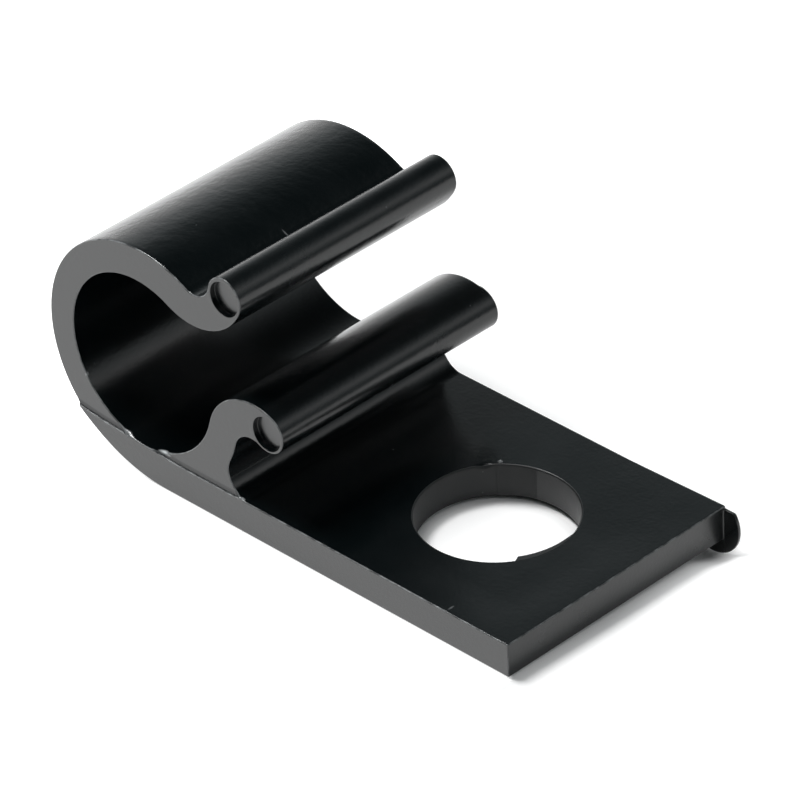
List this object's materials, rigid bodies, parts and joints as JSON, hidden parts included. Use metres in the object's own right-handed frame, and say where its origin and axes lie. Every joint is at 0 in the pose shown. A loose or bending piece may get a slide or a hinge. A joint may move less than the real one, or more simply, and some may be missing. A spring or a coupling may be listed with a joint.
{
  "type": "cable clip",
  "caption": "Screw-on cable clip moulded in one piece: a flat tab with a screw hole runs on into an open round loop, with beaded lips that a cable is pushed between.",
  "frame": {"origin": "centre of the screw hole on the tab's underside", "axes": "+Z along the screw hole, out of the tab's top; +X along the clip, from the loop to the tab's free end; +Y across its width"},
  "size_m": [0.0203, 0.0096, 0.0097],
  "materials": {
    "nylon": "satin"
  },
  "bodies": {
    "root": {"cable_clip": "nylon"}
  },
  "joints": []
}
